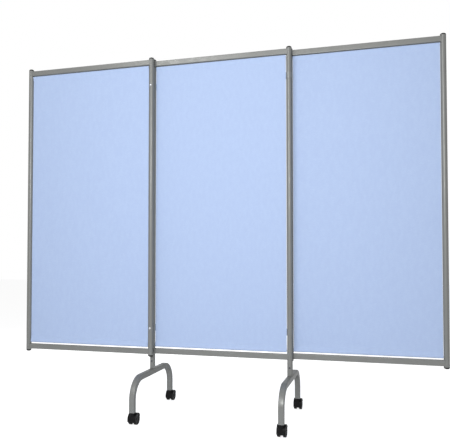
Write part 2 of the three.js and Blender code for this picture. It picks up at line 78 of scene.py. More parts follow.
# Points closer than this are one, and edges shorter than this are dissolved, in metres
SAME_POINT = 1e-6
SHORTEST_EDGE = 1e-7

BEVEL_SEGMENTS = 2

# Sizes that several pieces share and that the boxes of the CAD nodes don't give
TUBE_WALL = 1.5 * MM
TUBE_EDGE = 0.3 * MM
FOOT_CORNER = 4 * MM
FOOT_BAR_HEIGHT = 200 * MM
SEAT_GAP = 0.3 * MM
CAP_COVER = 4 * MM
BUTTON_RADIUS = 4 * MM
BUTTON_HEIGHT = 250 * MM


def srgb(red, green, blue):
    """A colour from 0 to 255 as a screen shows it, made linear for a shader by the sRGB curve."""
    def linear(value):
        share = value / 255
        return share / 12.92 if share <= 0.04045 else ((share + 0.055) / 1.055) ** 2.4
    return (linear(red), linear(green), linear(blue), 1.0)


def middle(node):
    """The middle of a CAD node's box."""
    low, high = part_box(node)
    return (low + high) / 2


def extent(node):
    """The size of a CAD node's box."""
    low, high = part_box(node)
    return high - low


# Meshes

def skin(rings, ring_closed=True, path_closed=False):
    """Points and faces of a surface through a row of rings with equal numbers of points."""
    count = len(rings[0])
    points = [Vector(point) for ring in rings for point in ring]
    faces = []
    for i in range(len(rings) if path_closed else len(rings) - 1):
        here, there = i * count, ((i + 1) % len(rings)) * count
        for j in range(count if ring_closed else count - 1):
            k = (j + 1) % count
            faces.append((here + j, here + k, there + k, there + j))
    if not path_closed:
        faces.append(tuple(range(count)))
        faces.append(tuple(range((len(rings) - 1) * count, len(rings) * count)))
    return points, faces


def turned(profile, segments, closed=False):
    """A profile of (radius, height) pairs turned round Z. A closed one is a ring's section."""
    rings = []
    for step in range(segments):
        turn = 2 * math.pi * step / segments
        rings.append([(r * math.cos(turn), r * math.sin(turn), h) for r, h in profile])
    return skin(rings, ring_closed=closed, path_closed=True)


def mesh_of(name, shape, sharp=SHARP_ANGLE):
    """A mesh with its faces pointing out, smooth but for edges sharper than the angle."""
    points, faces = shape
    mesh = bpy.data.meshes.new(name)
    mesh.from_pydata(points, [], faces)
    tidy(mesh, sharp)
    return mesh


def tidy(mesh, sharp):
    """Joins doubled points, turns the faces out and sets which edges are sharp."""
    work = bmesh.new()
    work.from_mesh(mesh)
    bmesh.ops.remove_doubles(work, verts=work.verts, dist=SAME_POINT)
    bmesh.ops.dissolve_degenerate(work, edges=work.edges, dist=SHORTEST_EDGE)
    bmesh.ops.recalc_face_normals(work, faces=work.faces)
    work.to_mesh(mesh)
    work.free()
    mesh.polygons.foreach_set("use_smooth", [True] * len(mesh.polygons))
    mesh.set_sharp_from_angle(angle=math.radians(sharp))


def new_object(name, data):
    """An object in the scene, for a mesh, a light or a camera."""
    made = bpy.data.objects.new(name, data)
    bpy.context.scene.collection.objects.link(made)
    return made


def piece(name, mesh, material, body, replaced=()):
    """A visible piece: its material, the body that it rides on and the nodes it stands for."""
    made = new_object(name, mesh)
    made.data.materials.clear()
    made.data.materials.append(material)
    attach(made, body)
    if replaced:
        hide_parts(*replaced)
    return made


def moved(shape, place=(0, 0, 0), turn=None):
    """A shape turned about the origin by a matrix, then moved."""
    points, faces = shape
    spin = turn or Matrix.Identity(3)
    return [spin @ Vector(point) + Vector(place) for point in points], faces


def joined(*shapes):
    """Several shapes as one."""
    points, faces = [], []
    for more_points, more_faces in shapes:
        start = len(points)
        points += more_points
        faces += [tuple(start + index for index in face) for face in more_faces]
    return points, faces


def applied(name, host, helpers, sharp):
    """The host's mesh with its modifiers applied. The host and its helpers are deleted."""
    graph = bpy.context.evaluated_depsgraph_get()
    mesh = bpy.data.meshes.new_from_object(host.evaluated_get(graph))
    for made in [host, *helpers]:
        old = made.data
        bpy.data.objects.remove(made)
        bpy.data.meshes.remove(old)
    tidy(mesh, sharp)
    mesh.name = name
    return mesh


def combined(name, base, cutters, sharp=SHARP_ANGLE):
    """One mesh from a base shape and a row of (operation, shape) booleans."""
    host = new_object(name, mesh_of(name, base, sharp))
    helpers = []
    for number, (operation, shape) in enumerate(cutters):
        helper_name = f"{name}_cutter_{number}"
        helper = new_object(helper_name, mesh_of(helper_name, shape))
        helpers.append(helper)
        modifier = host.modifiers.new(f"cut_{number}", "BOOLEAN")
        modifier.operation = operation
        modifier.solver = "EXACT"
        modifier.object = helper
    return applied(name, host, helpers, sharp)


def softened(name, shape, width, angle):
    """A mesh whose edges sharper than the angle are rounded over."""
    host = new_object(name, mesh_of(name, shape))
    bevel = host.modifiers.new("edges", "BEVEL")
    bevel.width = width
    bevel.segments = BEVEL_SEGMENTS
    bevel.limit_method = "ANGLE"
    bevel.angle_limit = math.radians(angle)
    return applied(name, host, [], SHARP_ANGLE)


def shape_of(mesh):
    """The points and faces of a mesh, which is deleted."""
    points = [vertex.co.copy() for vertex in mesh.vertices]
    faces = [tuple(face.vertices) for face in mesh.polygons]
    bpy.data.meshes.remove(mesh)
    return points, faces


def arc(centre, radius, start, end, steps):
    """Points (a, b) on an arc, its ends given in degrees."""
    turns = [math.radians(start + (end - start) * step / steps) for step in range(steps + 1)]
    return [(centre[0] + radius * math.cos(t), centre[1] + radius * math.sin(t)) for t in turns]


def between(first, last, steps):
    """Points on a straight line in equal steps, without its ends."""
    shares = [step / steps for step in range(1, steps)]
    return [tuple(a + (b - a) * share for a, b in zip(first, last)) for share in shares]


def dome(radius, foot, height, steps=DOME_STEPS):
    """(radius, height) pairs of a dome's profile, from its foot up to its middle."""
    turns = [math.pi / 2 * step / steps for step in range(steps + 1)]
    return [(radius * math.cos(t), foot + height * math.sin(t)) for t in turns]


def rounded_square(side, corner):
    """Points (u, v) round a square with round corners, anticlockwise."""
    flat = side / 2 - corner
    points = []
    for quarter in range(4):
        across = flat if quarter in (0, 3) else -flat
        up = flat if quarter in (0, 1) else -flat
        for step in range(CORNER_STEPS + 1):
            turn = math.pi / 2 * (quarter + step / CORNER_STEPS)
            points.append((across + corner * math.cos(turn), up + corner * math.sin(turn)))
    return points


def bar(radius, length, segments=SMALL_SEGMENTS, edge=TUBE_EDGE):
    """A round bar along Z from the origin, its end edges slightly rounded."""
    profile = [(0, 0), (radius - edge, 0), (radius, edge)]
    profile += [(radius, length - edge), (radius - edge, length), (0, length)]
    return turned(profile, segments)


def block(low, high):
    """A box between two corners."""
    section = [(low[0], low[1]), (high[0], low[1]), (high[0], high[1]), (low[0], high[1])]
    return skin([[(x, y, z) for x, y in section] for z in (low[2], high[2])])


ALONG_X = Matrix.Rotation(math.pi / 2, 3, "Y")
TO_FRONT = Matrix.Rotation(math.pi / 2, 3, "X")
HALF_TURN = Matrix.Rotation(math.pi, 3, "Z")
UPSIDE_DOWN = Matrix.Rotation(math.pi, 3, "X")


# Materials

# A noise texture's values mostly lie between these
NOISE_LOW = 0.3
NOISE_HIGH = 0.7
GRAIN_DETAIL = 2

PAINT_SPECULAR = 0.04
PAINT_TINT = (0.35, 0.35, 0.35, 1.0)
PLASTIC_SPECULAR = 0.12
CLOTH_SPECULAR = 0.35
PRINCIPLED_SPECULAR = 0.5
# The paint's paler flecks: the noise values over which they set in, how strongly they show, and
# the heights in metres between which they fade out
FLECK_ONSET = (0.66, 0.74)
FLECK_SHARE = 0.55
FLECK_HEIGHTS = (0.1, 0.34)
# The dust on the wheels, in the same way
DUST_ONSET = (0.52, 0.78)
DUST_SHARE = 0.5
WEAVE_PITCH = 0.9 * MM
WEAVE_DEPTH = 0.12 * MM
WEAVE_STRENGTH = 0.7
# How softly one thread gives way to the other where they cross
WEAVE_CROSSING = 0.15
# Painted shade in the hollows between the threads: up to which height it darkens them, and how
# dark
PAINTED_SHADE_HEIGHT = 0.5
PAINTED_HOLLOW_SHADE = 0.3
CREASE_DEPTH = 0.25 * MM
CREASE_STRENGTH = 0.6
SHEEN = 0.12
SHEEN_ROUGHNESS = 0.45
WHITE = (1, 1, 1, 1)


class Surface:
    """A material around one Principled shader, with short ways to add its textures."""

    def __init__(self, name, colour, roughness, metallic=0.0, specular=PRINCIPLED_SPECULAR):
        self.material = bpy.data.materials.new(name)
        self.material.use_nodes = True
        self.nodes = self.material.node_tree.nodes
        self.links = self.material.node_tree.links
        self.shader = self.nodes["Principled BSDF"]
        self.shader.inputs["Base Color"].default_value = colour
        self.shader.inputs["Roughness"].default_value = roughness
        self.shader.inputs["Metallic"].default_value = metallic
        self.shader.inputs["Specular IOR Level"].default_value = specular
        self.place = self.nodes.new("ShaderNodeTexCoord").outputs["Object"]
        self.height = None

    def axes(self):
        """The place on the object, split into its three coordinates."""
        split = self.nodes.new("ShaderNodeSeparateXYZ")
        self.links.new(self.place, split.inputs["Vector"])
        return split.outputs

    def noise(self, scale, detail, stretch=(1, 1, 1)):
        """A noise texture's value."""
        mapping = self.nodes.new("ShaderNodeMapping")
        mapping.inputs["Scale"].default_value = stretch
        texture = self.nodes.new("ShaderNodeTexNoise")
        texture.inputs["Scale"].default_value = scale
        texture.inputs["Detail"].default_value = detail
        self.links.new(self.place, mapping.inputs["Vector"])
        self.links.new(mapping.outputs["Vector"], texture.inputs["Vector"])
        return texture.outputs["Fac"]

    def ranged(self, value, low, high, to_low, to_high):
        """A value brought softly from one range to another."""
        node = self.nodes.new("ShaderNodeMapRange")
        node.interpolation_type = "SMOOTHSTEP"
        for socket, number in zip(node.inputs[1:5], (low, high, to_low, to_high)):
            socket.default_value = number
        self.links.new(value, node.inputs["Value"])
        return node.outputs["Result"]

    def math(self, operation, first, second=0.5):
        """The result of a sum on one or two values."""
        node = self.nodes.new("ShaderNodeMath")
        node.operation = operation
        for socket, value in zip(node.inputs, (first, second)):
            if isinstance(value, (int, float)):
                socket.default_value = value
            else:
                self.links.new(value, socket)
        return node.outputs["Value"]

    def mix(self, factor, first, second):
        """A colour between two others."""
        node = self.nodes.new("ShaderNodeMix")
        node.data_type = "RGBA"
        self.links.new(factor, node.inputs["Factor"])
        for socket, value in ((node.inputs[6], first), (node.inputs[7], second)):
            if isinstance(value, tuple):
                socket.default_value = value
            else:
                self.links.new(value, socket)
        return node.outputs[2]

    def colour(self, value):
        """Sets the base colour."""
        self.links.new(value, self.shader.inputs["Base Color"])

    def mottle(self, scale, detail, dark, light):
        """Lets the base colour drift between two colours."""
        self.colour(self.mix(self.noise(scale, detail), dark, light))

    def gloss(self, scale, detail, smooth, rough):
        """Lets the roughness drift between two values."""
        value = self.ranged(self.noise(scale, detail), NOISE_LOW, NOISE_HIGH, smooth, rough)
        self.links.new(value, self.shader.inputs["Roughness"])

    def grain(self, scale, depth, stretch=(1, 1, 1)):
        """Adds a fine grain to the surface."""
        self.bump(self.noise(scale, GRAIN_DETAIL, stretch), depth)

    def bump(self, height, distance, strength=1.0):
        """Adds a height to the surface, on top of those before it."""
        node = self.nodes.new("ShaderNodeBump")
        node.inputs["Strength"].default_value = strength
        node.inputs["Distance"].default_value = distance
        self.links.new(height, node.inputs["Height"])
        if self.height:
            self.links.new(self.height, node.inputs["Normal"])
        self.height = node.outputs["Normal"]
        self.links.new(self.height, self.shader.inputs["Normal"])


def frame_paint():
    """Grey powder coat: a slight mottle, orange peel, and paler flecks low down on the feet."""
    colour = srgb(134, 135, 133)
    surface = Surface("frame_paint", colour, 0.33, metallic=0.25, specular=PAINT_SPECULAR)
    surface.shader.inputs["Specular Tint"].default_value = PAINT_TINT
    mottle = surface.noise(scale=9, detail=3)
    grey = surface.mix(mottle, srgb(129, 130, 128), srgb(139, 140, 138))
    marks = surface.noise(scale=170, detail=4, stretch=(1, 1, 0.35))
    pale_flecks = surface.ranged(marks, *FLECK_ONSET, 0, 1)
    low_down = surface.ranged(surface.axes()["Z"], *FLECK_HEIGHTS, FLECK_SHARE, 0)
    flecked = surface.math("MULTIPLY", pale_flecks, low_down)
    # Paler grey flecks, by noise, fading out above a low height on the frame
    surface.colour(surface.mix(flecked, grey, srgb(186, 187, 184)))
    surface.gloss(scale=55, detail=3, smooth=0.28, rough=0.38)
    surface.grain(scale=620, depth=0.06 * MM)
    return surface.material


def clip_paint():
    """The hinge clips' thinner coat over bent strip, a shade darker than the tubes."""
    surface = Surface("clip_paint", srgb(126, 128, 127), 0.34, metallic=0.25)
    surface.mottle(60, 3, dark=srgb(120, 122, 121), light=srgb(132, 134, 133))
    surface.gloss(scale=120, detail=2, smooth=0.29, rough=0.38)
    surface.grain(scale=700, depth=0.05 * MM)
    return surface.material


def moulded(name, dark, light, grain, depth):
    """Moulded plastic with a faint flow mottle and a fine grain."""
    surface = Surface(name, dark, 0.46, specular=PLASTIC_SPECULAR)
    surface.mottle(70, 3, dark, light)
    surface.gloss(scale=200, detail=2, smooth=0.41, rough=0.53)
    surface.grain(grain, depth)
    return surface.material


def wheel_tread():
    """Black nylon wheels: clean faces, with a little pale floor dust worn into the tread."""
    surface = Surface("wheel_nylon", srgb(16, 16, 17), 0.48, specular=PLASTIC_SPECULAR)
    dust = surface.ranged(surface.noise(scale=320, detail=5), *DUST_ONSET, 0, DUST_SHARE)
    surface.colour(surface.mix(dust, srgb(11, 11, 12), srgb(30, 30, 29)))
    surface.gloss(scale=140, detail=3, smooth=0.42, rough=0.58)
    surface.grain(scale=900, depth=0.05 * MM)
    return surface.material


def plated(name, dark, light):
    """Plated or dark steel with brushed, slightly cloudy gloss."""
    surface = Surface(name, light, 0.28, metallic=1)
    surface.mottle(260, 4, dark, light)
    surface.gloss(scale=600, detail=3, smooth=0.2, rough=0.34)
    surface.grain(scale=1500, depth=0.02 * MM, stretch=(1, 1, 0.1))
    return surface.material


def fabric():
    """Light blue cloth in a fine plain weave, its threads running along X and Z, with painted
    shade in the hollows between them.
    """
    surface = Surface("curtain_cloth", srgb(187, 207, 243), 0.78, specular=CLOTH_SPECULAR)
    surface.shader.inputs["Sheen Weight"].default_value = SHEEN
    surface.shader.inputs["Sheen Roughness"].default_value = SHEEN_ROUGHNESS
    axes = surface.axes()
    waves = []
    for axis in ("X", "Z"):
        phase = surface.math("MULTIPLY", axes[axis], math.pi / WEAVE_PITCH)
        waves.append(surface.math("SINE", phase))
    over = surface.math("MULTIPLY", *waves)
    over = surface.ranged(over, -WEAVE_CROSSING, WEAVE_CROSSING, 0, 1)
    warp, weft = [surface.math("ABSOLUTE", wave) for wave in waves]
    crossing = surface.nodes.new("ShaderNodeMix")
    surface.links.new(over, crossing.inputs["Factor"])
    surface.links.new(warp, crossing.inputs[2])
    surface.links.new(weft, crossing.inputs[3])
    height = crossing.outputs[0]
    slubs = surface.noise(scale=240, detail=3, stretch=(0.35, 1, 1))
    streaks = surface.noise(scale=60, detail=3, stretch=(1, 1, 0.5))
    streaks = surface.ranged(streaks, NOISE_LOW, NOISE_HIGH, 0, 1)
    pale = surface.mix(streaks, srgb(189, 208, 243), srgb(195, 214, 247))
    threads = surface.mix(slubs, srgb(182, 203, 241), pale)
    # Painted shade: the low places of the weave are darkened towards a deeper blue
    hollow_painted_shade = surface.ranged(height, 0, PAINTED_SHADE_HEIGHT, 1, 0)
    hollow_painted_shade = surface.math("MULTIPLY", hollow_painted_shade, PAINTED_HOLLOW_SHADE)
    surface.colour(surface.mix(hollow_painted_shade, threads, srgb(160, 182, 226)))
    surface.gloss(scale=90, detail=3, smooth=0.72, rough=0.84)
    creases = surface.noise(scale=70, detail=3, stretch=(1, 1, 0.4))
    surface.bump(creases, CREASE_DEPTH, CREASE_STRENGTH)
    surface.bump(height, WEAVE_DEPTH, WEAVE_STRENGTH)
    return surface.material


def thread():
    """Pale polyester sewing thread, with the twist of its ply."""
    surface = Surface("sewing_thread", srgb(200, 214, 240), 0.6)
    surface.mottle(900, 2, dark=srgb(188, 203, 232), light=srgb(210, 222, 244))
    surface.grain(scale=2500, depth=0.05 * MM)
    return surface.material


PAINT = frame_paint()
CLIP_PAINT = clip_paint()
CAP_PLASTIC = moulded("cap_plastic", srgb(22, 22, 21), srgb(32, 32, 30), 1400, 0.03 * MM)
CASTER_NYLON = moulded("caster_nylon", srgb(10, 10, 11), srgb(17, 17, 18), 1100, 0.04 * MM)
WHEEL_NYLON = wheel_tread()
ZINC = plated("zinc_plate", srgb(182, 184, 188), srgb(208, 209, 211))
# Dark steel for the snap buttons, far darker than the plated steel
DARK_STEEL = plated("dark_steel", srgb(62, 63, 68), srgb(88, 89, 93))
CLOTH = fabric()
THREAD = thread()


# Round tubes, with their caps

CAD_CAP_SHANK = 13 * MM
CAP_SHANK = 6 * MM
CAP_SHANK_EDGE = 0.5 * MM
CAP_LIP = 1 * MM
CAP_LIP_EDGE = 0.3 * MM
CAP_DOME_STEPS = 12


def tube_section(radius, bottom, top):
    """(radius, height) pairs round the section of a round tube's wall."""
    bore = radius - TUBE_WALL
    return [
        (bore, bottom), (radius - TUBE_EDGE, bottom), (radius, bottom + TUBE_EDGE),
        (radius, top - TUBE_EDGE), (radius - TUBE_EDGE, top), (bore, top),
    ]


def stile(node, body):
    """A stile's tube, shorter than its solid at both ends, where the caps' heads cover more."""
    place, size = middle(node), extent(node)
    reach = size.z / 2 - CAP_COVER
    section = tube_section(size.x / 2, -reach, reach)
    shape = moved(turned(section, TUBE_SEGMENTS, closed=True), place)
    piece(f"{node}_tube", mesh_of(node, shape), PAINT, body, [node])


def bar_surface(across, side):
    """Height of the foot bar's round topped section above its middle, at a place across it."""
    flat = side / 2 - FOOT_CORNER
    past = max(0.0, abs(across) - flat)
    return flat + math.sqrt(max(0.0, FOOT_CORNER ** 2 - past ** 2))


def leg_post(node, foot_node):
    """A leg post, its foot cut to the round cornered bar under it, with the button's hole."""
    place, radius = middle(node), extent(node).x / 2
    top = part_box(node)[1].z - CAP_COVER
    foot_side = extent(foot_node).x
    bore = radius - TUBE_WALL
    rings = []
    for step in range(TUBE_SEGMENTS):
        turn = 2 * math.pi * step / TUBE_SEGMENTS
        seat = [
            FOOT_BAR_HEIGHT + SEAT_GAP + bar_surface(r * math.cos(turn), foot_side)
            for r in (bore, radius)
        ]
        profile = [
            (bore, seat[0]), (radius, seat[1]),
            (radius, BUTTON_HEIGHT - BUTTON_RADIUS * 2),
            (radius, BUTTON_HEIGHT + BUTTON_RADIUS * 2),
            (radius, top - TUBE_EDGE), (radius - TUBE_EDGE, top), (bore, top),
        ]
        across, along = math.cos(turn), math.sin(turn)
        rings.append([(place.x + r * across, place.y + r * along, h) for r, h in profile])
    hole = button_hole(place, radius)
    mesh = combined(node, skin(rings, path_closed=True), [("DIFFERENCE", hole)])
    piece(f"{node}_tube", mesh, PAINT, "base", [node])


def button_hole(place, radius):
    """The cutter for the snap button's hole in the front of a round tube."""
    cutter = bar(BUTTON_RADIUS + SEAT_GAP, radius * 2)
    return moved(cutter, (place.x, place.y, BUTTON_HEIGHT), TO_FRONT)


def cap(node, body, upside_down=False):
    """A domed plastic plug: a thin lip on the tube's end, and a dome over it."""
    low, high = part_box(node)
    place, radius = middle(node), (high.x - low.x) / 2
    seat = SEAT_GAP - CAP_COVER
    rise = (high.z - low.z) - CAD_CAP_SHANK - seat - CAP_LIP
    shank = radius - TUBE_WALL - SEAT_GAP
    profile = [(0, -CAP_SHANK), (shank - CAP_SHANK_EDGE, -CAP_SHANK)]
    profile += [(shank, CAP_SHANK_EDGE - CAP_SHANK), (shank, seat)]
    profile += [(radius - CAP_LIP_EDGE, seat), (radius, seat + CAP_LIP_EDGE)]
    profile += dome(radius, seat + CAP_LIP, rise, CAP_DOME_STEPS)
    shape = turned(profile, CAP_SEGMENTS)
    if upside_down:
        shape = moved(shape, (place.x, place.y, high.z - CAD_CAP_SHANK), UPSIDE_DOWN)
    else:
        shape = moved(shape, (place.x, place.y, low.z + CAD_CAP_SHANK))
    piece(f"{node}_dome", mesh_of(node, shape), CAP_PLASTIC, body, [node])


# Rails, coped to the round tubes, with a weld bead round each end, and the curtains' rods

RAIL_CORNER = 2.5 * MM
RAIL_HEIGHT = 25.4 * MM
BEAD_RADIUS = 1.5 * MM
BEAD_RIPPLE = 0.22 * MM
BEAD_RIPPLE_PITCH = 2.2 * MM
BEAD_RINGS_PER_RIPPLE = 3
BEAD_SEGMENTS = 10
BEAD_SHARP_ANGLE = 60
ROD_RADIUS = 4 * MM
ROD_EDGE = 0.5 * MM


def end_curve(section, post, radius, side):
    """Where a rail's section, placed at the post's Y, runs into the post's round surface."""
    return [(post.x + side * math.sqrt(radius ** 2 - (y - post.y) ** 2), y, z) for y, z in section]


def weld_bead(curve, side):
    """A rippled bead round the end of a rail."""
    count = len(curve)
    centre = sum((Vector(point) for point in curve), Vector()) / count
    run, rings = 0.0, []
    for index, point in enumerate(curve):
        here = Vector(point)
        run += (here - Vector(curve[index - 1])).length if index else 0.0
        out = Vector((0, here.y - centre.y, here.z - centre.z)).normalized()
        along = Vector((side, 0, 0))
        radius = BEAD_RADIUS + BEAD_RIPPLE * math.sin(2 * math.pi * run / BEAD_RIPPLE_PITCH)
        rings.append([
            here + (out * math.cos(turn) + along * math.sin(turn)) * radius
            for turn in (2 * math.pi * k / BEAD_SEGMENTS for k in range(BEAD_SEGMENTS))
        ])
    return skin(rings, path_closed=True)


def dense(points, spacing):
    """A closed row of points with more put in, so that none are further apart than the spacing."""
    filled = []
    for index, point in enumerate(points):
        following = points[(index + 1) % len(points)]
        steps = max(1, math.ceil(math.dist(point, following) / spacing))
        filled += [point, *between(point, following, steps)]
    return filled


def rail(node, body, first_post, last_post):
    """A rail as tall as the photograph's, its middle on that of the lower solid."""
    place, size = middle(node), extent(node)
    stretch = (RAIL_HEIGHT - size.z) / 2
    section = [
        (place.y + u, place.z + v + math.copysign(stretch, v))
        for u, v in rounded_square(size.z, RAIL_CORNER)
    ]
    section = dense(section, BEAD_RIPPLE_PITCH / BEAD_RINGS_PER_RIPPLE)
    ends = []
    for post_node, side in ((first_post, 1), (last_post, -1)):
        post, radius = middle(post_node), extent(post_node).x / 2
        ends.append((end_curve(section, post, radius - SEAT_GAP, side), side))
    mesh = mesh_of(node, skin([ends[0][0], ends[1][0]]))
    piece(f"{node}_tube", mesh, PAINT, body, [node])
    beads = joined(*[weld_bead(curve, side) for curve, side in ends])
    mesh = mesh_of(f"{node}_beads", beads, BEAD_SHARP_ANGLE)
    piece(f"{node}_weld_beads", mesh, PAINT, body)


def bar_between(node, radius, edge):
    """A round bar along X as long as a CAD node's box, in its place."""
    place, size = middle(node), extent(node)
    shape = bar(radius, size.x, edge=edge)
    return moved(shape, (place.x - size.x / 2, place.y, place.z), ALONG_X)


def curtain_rod(node, body):
    """One of the rods in a curtain's pockets, its ends in holes in the tubes."""
    mesh = mesh_of(node, bar_between(node, ROD_RADIUS, ROD_EDGE))
    piece(f"{node}_bar", mesh, ZINC, body, [node])


# Feet, with their spigots and snap buttons

FOOT_BEND_RADIUS = 90 * MM
FOOT_BEND_STEPS = 22
STUD_LENGTH = 7.4 * MM
STUD_CROWN = 1.4 * MM
LEAF_THICKNESS = 0.8 * MM
LEAF_WIDTH = 8 * MM
LEAF_BEND = 3 * MM
LEAF_BEND_STEPS = 12
# How far the leaf reaches from the stud's axis: over the stud, down to the bend, and up behind
LEAF_ABOVE = 12 * MM
LEAF_BELOW = 22 * MM
LEAF_BEHIND = 4 * MM


def foot_path(end_height, half_spread):
    """Points (y, z) and tangents down the middle of the arched foot, front to rear."""
    centre_y, centre_z = half_spread - FOOT_BEND_RADIUS, FOOT_BAR_HEIGHT - FOOT_BEND_RADIUS
    stations = [((-half_spread, end_height), (0, 1))]
    for step in range(FOOT_BEND_STEPS + 1):
        turn = math.pi / 2 * step / FOOT_BEND_STEPS
        out, up = math.cos(turn) * FOOT_BEND_RADIUS, math.sin(turn) * FOOT_BEND_RADIUS
        stations.append(((-centre_y - out, centre_z + up), (math.sin(turn), math.cos(turn))))
    mirrored = [((-y, z), (ty, -tz)) for (y, z), (ty, tz) in reversed(stations)]
    return stations + mirrored


def foot_arch(node, post_node):
    """The bent square tube, and the round spigot on it that the leg post slides over."""
    low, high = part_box(node)
    post = middle(post_node)
    side = high.x - low.x
    half_spread = (high.y - low.y - side) / 2
    section = rounded_square(side, FOOT_CORNER)
    rings = []
    for (y, z), (ty, tz) in foot_path(low.z, half_spread):
        rings.append([(post.x + u, post.y + y - tz * v, z + ty * v) for u, v in section])
    piece(f"{node}_tube", mesh_of(node, skin(rings)), PAINT, "base", [node])
    spigot_radius = extent(post_node).x / 2 - TUBE_WALL - SEAT_GAP
    foot = FOOT_BAR_HEIGHT + side / 2 - TUBE_WALL
    section = tube_section(spigot_radius, foot, high.z)
    spigot = moved(turned(section, CAP_SEGMENTS, closed=True), (post.x, post.y, 0))
    hole = button_hole(post, spigot_radius)
    mesh = combined(f"{node}_spigot", spigot, [("DIFFERENCE", hole)])
    piece(f"{node}_spigot", mesh, ZINC, "base")


def snap_button(node, body, post_node):
    """The crowned stud, and the hairpin leaf that it stands on inside the spigot."""
    post = middle(post_node)
    place = (post.x, post.y, BUTTON_HEIGHT)
    reach = post.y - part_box(node)[0].y
    foot = reach - STUD_LENGTH
    profile = [(0, foot), (BUTTON_RADIUS, foot)]
    profile += dome(BUTTON_RADIUS, reach - STUD_CROWN, STUD_CROWN)
    stud = moved(turned(profile, SMALL_SEGMENTS), place, TO_FRONT)
    front = foot - LEAF_THICKNESS / 2
    outer, inner = LEAF_BEND + LEAF_THICKNESS, LEAF_BEND
    bend = (-(front + LEAF_THICKNESS) + outer, -LEAF_BELOW)
    hairpin = [(-(front + LEAF_THICKNESS), LEAF_ABOVE)]
    hairpin += arc(bend, outer, 180, 360, LEAF_BEND_STEPS)
    hairpin += [(bend[0] + outer, LEAF_BEHIND), (bend[0] + inner, LEAF_BEHIND)]
    hairpin += arc(bend, inner, 360, 180, LEAF_BEND_STEPS)
    hairpin.append((-front, LEAF_ABOVE))
    half = LEAF_WIDTH / 2
    leaf = moved(skin([[(x, y, z) for y, z in hairpin] for x in (-half, half)]), place)
    piece(f"{node}_stud", mesh_of(node, joined(stud, leaf)), DARK_STEEL, body, [node])


# Casters

HOOD_HALF_WIDTH = 20 * MM
HOOD_RADIUS = 28.5 * MM
HOOD_INNER_RADIUS = 26.5 * MM
HOOD_RIM = 0.9 * MM
HOOD_RIM_STEPS = 5
HOOD_INNER_RIM = 0.4 * MM
HOOD_INNER_RIM_STEPS = 3
HOOD_START = math.radians(20)
HOOD_END = math.radians(200)
HOOD_STEPS = 32
HOOD_EDGE = 0.35 * MM
HOOD_EDGE_ANGLE = 60
HOUSING_SHARP_ANGLE = 35
CORE_HALF_WIDTH = 6 * MM
CORE_FILLET = 2 * MM
CORE_FILLET_STEPS = 6
CORE_DISC_RADIUS = 19 * MM
CORE_DISC_EDGE = 1 * MM
AXLE_RADIUS = 3 * MM
AXLE_EDGE = 0.6 * MM
BOSS_RADIUS = 11 * MM
BOSS_EDGE = 0.6 * MM
STEM_RADIUS = 4 * MM
STEM_EDGE = 0.5 * MM
STEM_WELL_DEPTH = 21 * MM
STEM_WELL_CUT = 30 * MM
COLLAR_FOOT = 55.6 * MM
COLLAR_TOP = 56.8 * MM
SLEEVE_TOP = 93 * MM
HUB_CAP_RADIUS = 6.2 * MM
HUB_CAP_HEIGHT = 2 * MM
HUB_CAP_WALL = 1 * MM
HUB_CAP_PLAY = 0.1 * MM
HUB_CAP_EDGE = 0.7 * MM
HUB_CAP_SEAT = 0.5 * MM
WHEEL_RADIUS = 25 * MM
WHEEL_INNER_FACE = 5 * MM
TREAD_INNER_EDGE = 2 * MM
TREAD_INNER_STEPS = 5
TREAD_OUTER_EDGE = 2.4 * MM
TREAD_OUTER_STEPS = 6
WHEEL_SHARP_ANGLE = 40
# The wheel's dished outer face in mm, from the tread inwards: (inside the tread, below the face)
WHEEL_DISH = (
    (4.1, 0), (4.7, 0.5), (5.4, 2.3), (8.5, 2.6), (9, 3.1), (9.8, 3.1), (10.3, 2.7))
# The hub in mm, from the dish inwards: (from the axle's middle, below the face)
WHEEL_HUB = ((8, 3.7), (7.4, 3.2), (6.8, 2.6))


def hood_section():
    """Half of the hood's section as (x, radius): core, fillet, and the thin shell over a wheel."""
    half = [(CORE_HALF_WIDTH, AXLE_RADIUS + SEAT_GAP)]
    corner = (CORE_HALF_WIDTH + CORE_FILLET, HOOD_INNER_RADIUS - CORE_FILLET)
    half += arc(corner, CORE_FILLET, 180, 90, CORE_FILLET_STEPS)
    corner = (HOOD_HALF_WIDTH - HOOD_INNER_RIM, HOOD_INNER_RADIUS + HOOD_INNER_RIM)
    half += arc(corner, HOOD_INNER_RIM, 270, 360, HOOD_INNER_RIM_STEPS)
    corner = (HOOD_HALF_WIDTH - HOOD_RIM, HOOD_RADIUS - HOOD_RIM)
    half += arc(corner, HOOD_RIM, 0, 90, HOOD_RIM_STEPS)
    return half


def hood():
    """The core and shell in one, turned about the wheels' axle along X through the origin."""
    half = hood_section()
    section = half + [(-x, r) for x, r in reversed(half)]
    rings = []
    for step in range(HOOD_STEPS + 1):
        turn = HOOD_START + (HOOD_END - HOOD_START) * step / HOOD_STEPS
        rings.append([(x, r * math.cos(turn), r * math.sin(turn)) for x, r in section])
    return skin(rings)


